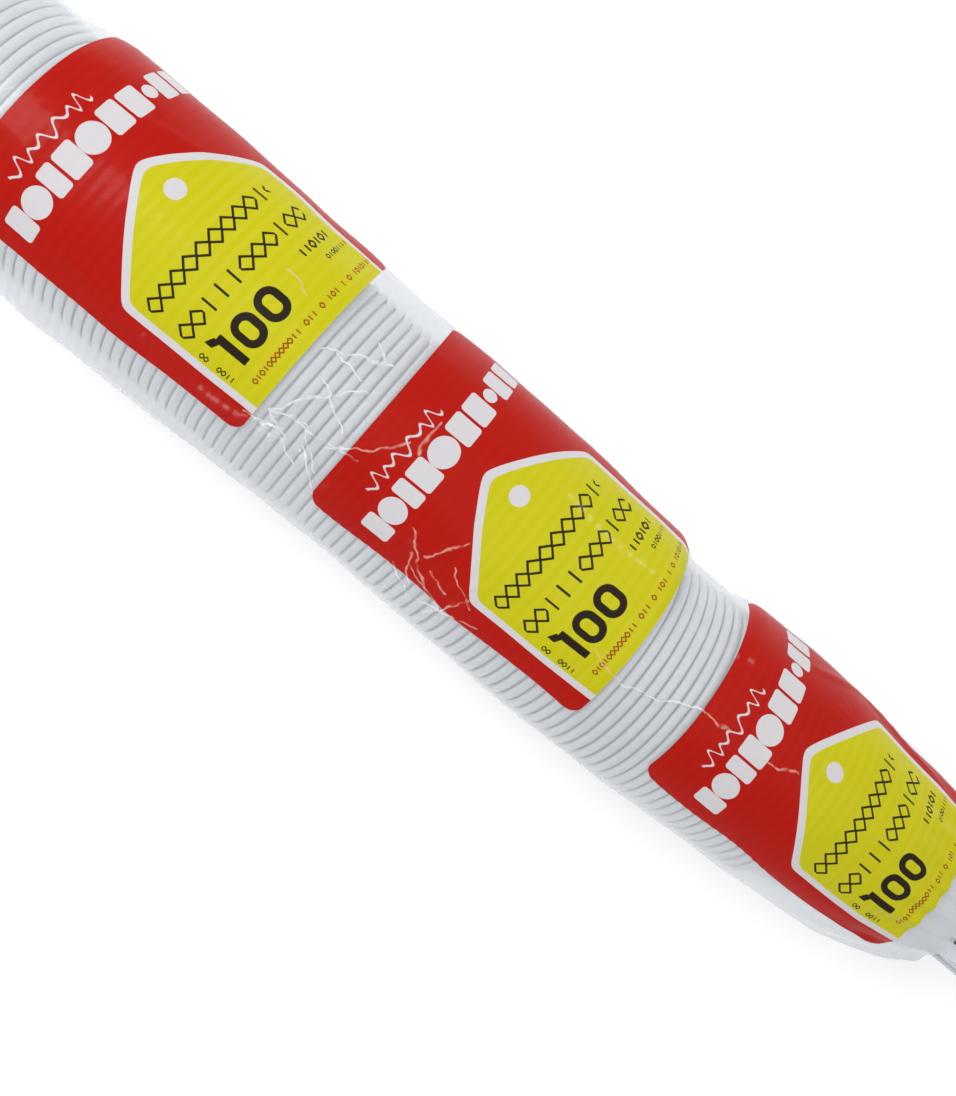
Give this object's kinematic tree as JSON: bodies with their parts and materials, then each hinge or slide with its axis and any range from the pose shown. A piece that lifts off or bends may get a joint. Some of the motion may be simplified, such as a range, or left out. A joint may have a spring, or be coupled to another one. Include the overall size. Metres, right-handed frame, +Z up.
{
  "type": "sleeve pack of disposable drinking cups",
  "caption": "Clear printed film sleeve holding a long stack of nested white thin-walled plastic drinking cups; the cups slide out of its open end one after another",
  "frame": {"origin": "on the surface the pack lies on, under the middle of its bounding box", "axes": "+X along the stack from the cups' mouths to their bases, +Z up, +Y to the left of +X"},
  "size_m": [0.4998, 0.0845, 0.0758],
  "materials": {
    "cup_plastic": "satin",
    "film": "gloss",
    "label_paper": "matte"
  },
  "bodies": {
    "root": {"barcode_sticker": "label_paper", "cup_007": "cup_plastic", "cup_008": "cup_plastic", "cup_009": "cup_plastic", "cup_010": "cup_plastic", "cup_011": "cup_plastic", "cup_012": "cup_plastic", "cup_013": "cup_plastic", "cup_014": "cup_plastic", "cups_015_016": "cup_plastic", "cups_017_018": "cup_plastic", "cups_019_020": "cup_plastic", "cups_021_022": "cup_plastic", "cups_023_024": "cup_plastic", "cups_025_026": "cup_plastic", "cups_027_028": "cup_plastic", "cups_029_030": "cup_plastic", "cups_031_032": "cup_plastic", "cups_033_034": "cup_plastic", "cups_035_036": "cup_plastic", "cups_037_038": "cup_plastic", "cups_039_040": "cup_plastic", "cups_041_042": "cup_plastic", "cups_043_044": "cup_plastic", "cups_045_046": "cup_plastic", "cups_047_048": "cup_plastic", "cups_049_050": "cup_plastic", "cups_051_052": "cup_plastic", "cups_053_054": "cup_plastic", "cups_055_056": "cup_plastic", "cups_057_058": "cup_plastic", "cups_059_060": "cup_plastic", "cups_061_062": "cup_plastic", "cups_063_064": "cup_plastic", "cups_065_066": "cup_plastic", "cups_067_068": "cup_plastic", "cups_069_070": "cup_plastic", "cups_071_072": "cup_plastic", "cups_073_074": "cup_plastic", "cups_075_076": "cup_plastic", "cups_077_078": "cup_plastic", "cups_079_080": "cup_plastic", "cups_081_082": "cup_plastic", "cups_083_084": "cup_plastic", "cups_085_086": "cup_plastic", "cups_087_088": "cup_plastic", "cups_089_090": "cup_plastic", "cups_091_092": "cup_plastic", "cups_093_094": "cup_plastic", "cups_095_096": "cup_plastic", "cups_097_098": "cup_plastic", "cups_099_100": "cup_plastic", "film_sleeve": "film"},
    "cup_001_body": {"cup_001": "cup_plastic"},
    "cup_002_body": {"cup_002": "cup_plastic"},
    "cup_003_body": {"cup_003": "cup_plastic"},
    "cup_004_body": {"cup_004": "cup_plastic"},
    "cup_005_body": {"cup_005": "cup_plastic"},
    "cup_006_body": {"cup_006": "cup_plastic"}
  },
  "joints": [
    {"name": "cup_001_slide", "type": "slide", "parent": "cup_002_body", "child": "cup_001_body", "axis": [-1, 0, 0], "range_m": [0, 0.125]},
    {"name": "cup_002_slide", "type": "slide", "parent": "cup_003_body", "child": "cup_002_body", "axis": [-1, 0, 0], "range_m": [0, 0.125]},
    {"name": "cup_003_slide", "type": "slide", "parent": "cup_004_body", "child": "cup_003_body", "axis": [-1, 0, 0], "range_m": [0, 0.125]},
    {"name": "cup_004_slide", "type": "slide", "parent": "cup_005_body", "child": "cup_004_body", "axis": [-1, 0, 0], "range_m": [0, 0.125]},
    {"name": "cup_005_slide", "type": "slide", "parent": "cup_006_body", "child": "cup_005_body", "axis": [-1, 0, 0], "range_m": [0, 0.125]},
    {"name": "cup_006_slide", "type": "slide", "parent": "root", "child": "cup_006_body", "axis": [-1, 0, 0], "range_m": [0, 0.125]}
  ]
}
